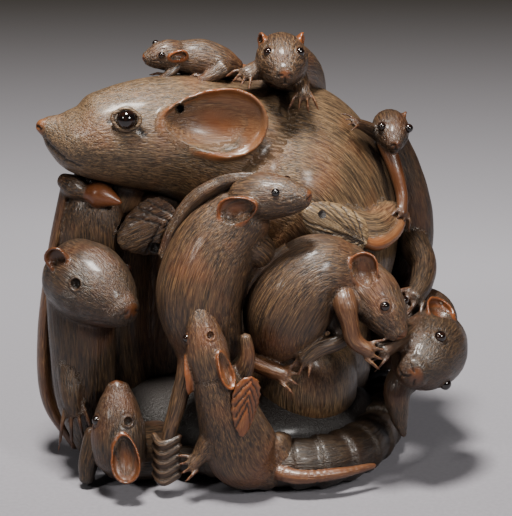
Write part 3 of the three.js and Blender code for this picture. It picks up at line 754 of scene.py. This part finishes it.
def sculpt(name, figure, voxel):
    """One carved figure: a closed mesh with its fur laid along the forms."""
    whole = join(figure["forms"])
    rough = vertices(whole)
    marks = np.empty(len(rough), dtype=np.int32)
    whole.data.attributes["form"].data.foreach_get("value", marks)
    tree = tree_of(rough)
    whole.data.attributes.remove(whole.data.attributes["form"])
    modifier(whole, "REMESH", mode="VOXEL", voxel_size=voxel, adaptivity=0)
    for at, r in figure["holes"]:
        cutter = ball()
        put(cutter, vertices(cutter) * r + vec(at))
        cut_out(whole, cutter)
    hollows = []
    for cup, tone in figure.get("cups", ()):
        at, basis, radii = hollow_of(**cup)
        cutter = ball(64, 40)
        v = vertices(cutter)
        v[:, 0] *= 1 + EAR_TAPER * v[:, 2]
        put(cutter, (v * radii) @ basis + at)
        cut_out(whole, cutter)
        hollows.append((at, basis, radii, tone))
    points = vertices(whole)
    edges = edges_of(whole)
    points = blurred(points, edges, SMOOTHING)
    put(whole, points)
    near = np.array([tree.find(p)[1] for p in points])
    marks = marks[near]
    tones = blurred(np.array([form["tone"] for form in FORMS])[marks], edges, 10)[:, 0]
    for at, basis, radii, tone in hollows:
        place = (points - at) @ basis.T / (radii + 0.3)
        inside = (place ** 2).sum(axis=1) < 1
        middle = np.exp(-3 * (place[:, 0] ** 2 + (place[:, 2] - 0.1) ** 2))
        tones = np.where(inside, tone * (0.3 + 0.7 * middle), tones)
    # The insides of holes and bites are painted black as shade.
    for at, r in figure["holes"]:
        tones = np.where(np.linalg.norm(points - vec(at), axis=1) < r * 1.06, -1, tones)
    lay = lay_of(points, marks)
    normals = normals_of(whole)
    cut = np.zeros(len(points))
    surface = tree_of(points)
    for line, width, depth in figure["lines"]:
        far = to_line(points, snapped(line, surface, points))
        groove = np.clip(1 - far / width, 0, 1)
        cut = np.maximum(cut, depth * groove ** 0.8)
    raised = np.zeros(len(points))
    for at, r in figure["lids"]:
        far = np.linalg.norm(points - vec(at), axis=1)
        wide = LID + 0.1 * r
        ring = np.clip(1 - np.abs(far - r * 1.1) / wide, 0, 1)
        raised = np.maximum(raised, 0.12 * r * ring)
        cut = np.maximum(cut, 0.14 * np.clip(1 - np.abs(far - r * 1.25 - wide) / wide, 0, 1))
        tones = np.maximum(tones, 0.42 * ring)
    grains = lay / [STROKE_ACROSS, STROKE_ACROSS, STROKE_ALONG]
    strokes = np.array([noise.noise(Vector(row)) for row in grains])
    hairy = np.clip(1 - tones * 1.6, 0, 1)
    put(whole, points + normals * (raised - cut + STROKE_DEPTH * strokes * hairy)[:, None])
    points = vertices(whole)
    normals = normals_of(whole)
    bend = blurred(points, edges, 3) - points
    edge = -(bend * normals).sum(axis=1)
    edge = blurred(edge, edges, 2)[:, 0] / voxel
    points[:, 2] = np.maximum(points[:, 2], 0)
    put(whole, points * MM)
    keep(whole, "lay", lay)
    # Tones below zero are painted shade on hidden recesses, holes and filler forms, and the mother's tail's
    # own darker stain.
    keep(whole, "bare", tones)
    keep(whole, "worn", edge)
    keep(whole, "engraved", cut)
    whole.data.materials.clear()
    whole.name = whole.data.name = name
    whole.data.polygons.foreach_set("use_smooth", [True] * len(whole.data.polygons))
    whole.select_set(False)
    return whole


# Materials
def colour(code):
    """An sRGB hex colour as linear values."""
    parts = [int(code[i:i + 2], 16) / 255 for i in (1, 3, 5)]
    linear = [c / 12.92 if c <= 0.04045 else ((c + 0.055) / 1.055) ** 2.4 for c in parts]
    return (*linear, 1.0)


def node(tree, kind, settings=None, **links):
    """Adds a node; links are its sockets' values, or other nodes' outputs."""
    made = tree.nodes.new(kind)
    for name, value in (settings or {}).items():
        setattr(made, name, value)
    for name, value in links.items():
        socket = made.inputs[int(name[1:])] if name[0] == "_" else made.inputs[name.replace("_", " ")]
        if isinstance(value, bpy.types.NodeSocket):
            tree.links.new(value, socket)
        else:
            socket.default_value = value
    return made


def new_material(name):
    made = bpy.data.materials.new(name)
    made.use_nodes = True
    tree = made.node_tree
    tree.nodes.clear()
    shader = tree.nodes.new("ShaderNodeBsdfPrincipled")
    end = tree.nodes.new("ShaderNodeOutputMaterial")
    tree.links.new(shader.outputs[0], end.inputs[0])
    return made, tree, shader


def ramp(tree, value, low, high):
    return node(tree, "ShaderNodeMapRange", None, Value=value, From_Min=low, From_Max=high).outputs[0]


def mix(tree, share, a, b):
    return node(tree, "ShaderNodeMix", {"data_type": "RGBA"}, _0=share, _6=a, _7=b).outputs[2]


# Black painted as shade in the sockets and behind the figures, also the mother's tail's own dark stain; wax
# in the cuts; and the deepest nooks, partly stain and partly painted shade
PAINTED_SHADE_AND_DARK_STAIN = "#150d08"
OLD_WAX = "#1c120c"
NOOK_STAIN_AND_PAINTED_SHADE = "#140c08"


def boxwood(name, fur, light, dark, bare):
    """Stained boxwood, cut in fine strokes and waxed: satin, with streaks along the fur."""
    made, tree, shader = new_material(name)
    lay = node(tree, "ShaderNodeAttribute", {"attribute_name": "lay"}).outputs["Vector"]
    tone = node(tree, "ShaderNodeAttribute", {"attribute_name": "bare"}).outputs["Fac"]
    worn = node(tree, "ShaderNodeAttribute", {"attribute_name": "worn"}).outputs["Fac"]
    engraved = node(tree, "ShaderNodeAttribute", {"attribute_name": "engraved"}).outputs["Fac"]
    place = node(tree, "ShaderNodeTexCoord").outputs["Object"]

    def strokes(across, along):
        """Noise with its grains this many millimetres across and along the fur."""
        scale = (1 / across, 1 / across, 1 / along)
        turned = node(tree, "ShaderNodeMapping", {"vector_type": "POINT"}, Vector=lay,
                      Scale=scale).outputs[0]
        return node(tree, "ShaderNodeTexNoise", None, Vector=turned, Scale=1.0, Detail=2.0,
                    Roughness=0.6).outputs[0]

    # Strokes of the knife are about 0.2 mm wide and 3 mm long; the coarse ones, which gather several,
    # are drawn 0.5 mm wide so that they show at this size.
    coarse = strokes(0.5, 5.5)
    fine = strokes(0.24, 3.4)
    # Clouds of stain and wear about 11 mm across
    patches = node(tree, "ShaderNodeTexNoise", None, Vector=place, Scale=90.0, Detail=4.0).outputs[0]
    base = mix(tree, ramp(tree, coarse, 0.36, 0.66), colour(dark), colour(fur))
    base = mix(tree, ramp(tree, fine, 0.5, 0.78), base, colour(light))
    base = mix(tree, ramp(tree, patches, 0.5, 0.8), base, mix(tree, 0.3, base, colour(bare)))
    polished = mix(tree, ramp(tree, patches, 0.35, 0.65), colour(bare),
                   mix(tree, 0.7, colour(bare), colour(fur)))
    base = mix(tree, ramp(tree, tone, 0.3, 1.1), base, polished)
    base = mix(tree, ramp(tree, worn, 0.12, 0.6), base, colour(bare))
    # Negative tones mix towards black: painted shade on hidden recesses, holes and filler forms, and the
    # mother's tail's darker stain.
    base = mix(tree, ramp(tree, tone, 0.0, -1.0), base, colour(PAINTED_SHADE_AND_DARK_STAIN))
    base = mix(tree, ramp(tree, worn, -0.08, -0.45), base, colour(OLD_WAX))
    base = mix(tree, ramp(tree, engraved, 0.05, 0.4), base, colour(OLD_WAX))
    # Ambient occlusion darkens the colour in the deepest nooks: partly stain, partly painted shade.
    nook = node(tree, "ShaderNodeAmbientOcclusion", {"samples": 4}, Distance=0.006).outputs["AO"]
    base = mix(tree, ramp(tree, nook, 0.62, 0.12), base, colour(NOOK_STAIN_AND_PAINTED_SHADE))
    tree.links.new(base, shader.inputs["Base Color"])
    rough = node(tree, "ShaderNodeMapRange", None, Value=ramp(tree, tone, 0.2, 1.0), To_Min=0.38,
                 To_Max=0.24).outputs[0]
    streaked = node(tree, "ShaderNodeMath", {"operation": "MULTIPLY_ADD"}, _0=fine, _1=0.16,
                    _2=rough).outputs[0]
    tree.links.new(streaked, shader.inputs["Roughness"])
    shader.inputs["IOR"].default_value = 1.5
    shader.inputs["Coat Weight"].default_value = 0.2
    shader.inputs["Coat Roughness"].default_value = 0.2
    height = node(tree, "ShaderNodeMath", {"operation": "ADD"}, _0=coarse, _1=fine).outputs[0]
    hairy = node(tree, "ShaderNodeMapRange", None, Value=tone, From_Min=0.2, From_Max=0.8, To_Min=0.75,
                 To_Max=0.12).outputs[0]
    bump = node(tree, "ShaderNodeBump", None, Strength=hairy, Distance=0.0003, Height=height).outputs[0]
    tree.links.new(bump, shader.inputs["Normal"])
    return made


def horn():
    """Polished dark horn: nearly black with warm clouds, and a sharp highlight."""
    made, tree, shader = new_material("polished_dark_horn")
    place = node(tree, "ShaderNodeTexCoord").outputs["Object"]
    # Clouds in the horn about 1.5 mm across
    cloud = node(tree, "ShaderNodeTexNoise", None, Vector=place, Scale=700.0, Detail=3.0).outputs[0]
    base = mix(tree, ramp(tree, cloud, 0.45, 0.8), colour("#0a0706"), colour("#2a150b"))
    tree.links.new(base, shader.inputs["Base Color"])
    shader.inputs["Roughness"].default_value = 0.07
    shader.inputs["IOR"].default_value = 1.55
    shader.inputs["Coat Weight"].default_value = 0.5
    shader.inputs["Coat Roughness"].default_value = 0.03
    return made


def paper():
    """A plain matt backdrop paper with painted light: lighter from the front to just behind the carving,
    then painted dark further back as the light's falloff.
    """
    made, tree, shader = new_material("backdrop_paper")
    place = node(tree, "ShaderNodeTexCoord").outputs["Object"]
    # Paper grain about 1 mm across
    grain = node(tree, "ShaderNodeTexNoise", None, Vector=place, Scale=900.0, Detail=2.0).outputs[0]
    away = node(tree, "ShaderNodeSeparateXYZ", None, Vector=place).outputs["Y"]
    near = mix(tree, ramp(tree, grain, 0.3, 0.7), colour("#757379"), colour("#7c7a80"))
    # Painted light and shade by distance: lighter just behind the carving, dark far behind it.
    base = mix(tree, ramp(tree, away, -0.06, 0.12), near, colour("#8e8d94"))
    base = mix(tree, ramp(tree, away, 0.14, 0.5), base, colour("#322e2b"))
    tree.links.new(base, shader.inputs["Base Color"])
    shader.inputs["Roughness"].default_value = 0.95
    return made


# The same wood, stained lighter or darker, and one copy painted darker as shade: fur, its light streaks,
# its dark streaks, and worn wood
WOOD = boxwood("stained_boxwood_young", "#4f3928", "#7a5d3c", "#1e130c", "#8c4a20")
# A copy of the young rats' wood painted darker as shade, for the rats that sit in shade and for the base.
PAINTED_SHADE_WOOD = boxwood("boxwood_young_painted_shade", "#39291b", "#5b452c", "#140c07", "#743d1a")
LEAF_WOOD = boxwood("stained_boxwood_leaf", "#7f6849", "#ab9069", "#4a3826", "#8c5a30")
MOTHER_WOOD = boxwood("stained_boxwood_mother", "#614b35", "#8b6f4c", "#2e2318", "#8c4a20")
HORN = horn()

# Each figure with the size of its remesh in millimetres, finer for the small ones
FIGURES = {
    "mother": (mother, 0.66),
    "mother_tail": (mother_tail, 0.46),
    "mother_eyelids": (mother_eyelids, 0.16),
    "rat_on_head": (on_head, 0.22),
    "rat_over_top": (over_top, 0.31),
    "rat_down_back": (down_back, 0.33),
    "rat_right": (right, 0.38),
    "rat_middle": (middle, 0.36),
    "rat_centre": (centre, 0.36),
    "rat_front": (front, 0.34),
    "rat_front_left": (front_left, 0.34),
    "rat_left": (left, 0.4),
    "pod_sheath_and_strands": (plants, 0.36),
    "pale_leaf": (pale_leaf, 0.3),
    "ground": (ground, 1.2),
}
# The rats and base in shade take the wood painted darker as shade.
WOODS = {"mother": MOTHER_WOOD, "mother_tail": MOTHER_WOOD, "mother_eyelids": MOTHER_WOOD,
         "ground": PAINTED_SHADE_WOOD, "pale_leaf": LEAF_WOOD, "rat_left": PAINTED_SHADE_WOOD, "rat_front_left": PAINTED_SHADE_WOOD,
         "rat_right": PAINTED_SHADE_WOOD, "rat_down_back": PAINTED_SHADE_WOOD}
QUICK = 1.0
# A bead fills a little of the gap round the faceted one of the frame
BEAD_FILL = 1.04

for name, (make, voxel) in FIGURES.items():
    piece = sculpt(name, make(), voxel * QUICK)
    piece.data.materials.append(WOODS.get(name, WOOD))
    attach(piece, "root")
    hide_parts("boxwood_group")

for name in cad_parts:
    if "_eye_" in name:
        low, high = (np.array(corner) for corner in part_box(name))
        bead = ball(40, 24)
        bead.name = bead.data.name = name + "_bead"
        put(bead, vertices(bead) * (high - low).max() / 2 * BEAD_FILL + (low + high) / 2)
        bead.data.polygons.foreach_set("use_smooth", [True] * len(bead.data.polygons))
        bead.data.materials.append(HORN)
        bead.select_set(False)
        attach(bead, "root")
        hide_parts(name)


# Floor, light and camera
def stage():
    bpy.ops.mesh.primitive_plane_add(size=3)
    floor = bpy.context.active_object
    floor.name = "floor"
    floor.data.materials.append(paper())
    floor.select_set(False)


def lamp(name, place, size, power, tint, aim=(0, 0, 0.04)):
    data = bpy.data.lights.new(name, "AREA")
    data.shape = "DISK"
    data.size = size
    data.energy = power
    data.color = tint
    obj = bpy.data.objects.new(name, data)
    obj.location = place
    obj.rotation_euler = (Vector(aim) - Vector(place)).to_track_quat("-Z", "Y").to_euler()
    bpy.context.scene.collection.objects.link(obj)


def camera():
    rise, away, aim = math.radians(18), 0.62, Vector((0.005, 0, 0.0452))
    data = bpy.data.cameras.new("camera")
    data.lens = 180.2
    data.clip_start = 0.02
    obj = bpy.data.objects.new("camera", data)
    obj.location = aim + Vector((0, -math.cos(rise), math.sin(rise))) * away
    obj.rotation_euler = (aim - obj.location).to_track_quat("-Z", "Y").to_euler()
    bpy.context.scene.collection.objects.link(obj)
    bpy.context.scene.camera = obj


stage()
lamp("overhead", (-0.06, -0.12, 0.68), 0.15, 12.0, (1.0, 0.96, 0.9))
lamp("left", (-0.45, -0.45, 0.4), 0.1, 1.1, (1.0, 0.96, 0.9))
lamp("right", (0.34, -0.5, 0.42), 0.12, 3.2, (1.0, 0.97, 0.93))
world = bpy.data.worlds.new("studio")
bpy.context.scene.world = world
world.use_nodes = True
world.node_tree.nodes["Background"].inputs[0].default_value = colour("#9a9aa2")
world.node_tree.nodes["Background"].inputs[1].default_value = 0.1
camera()
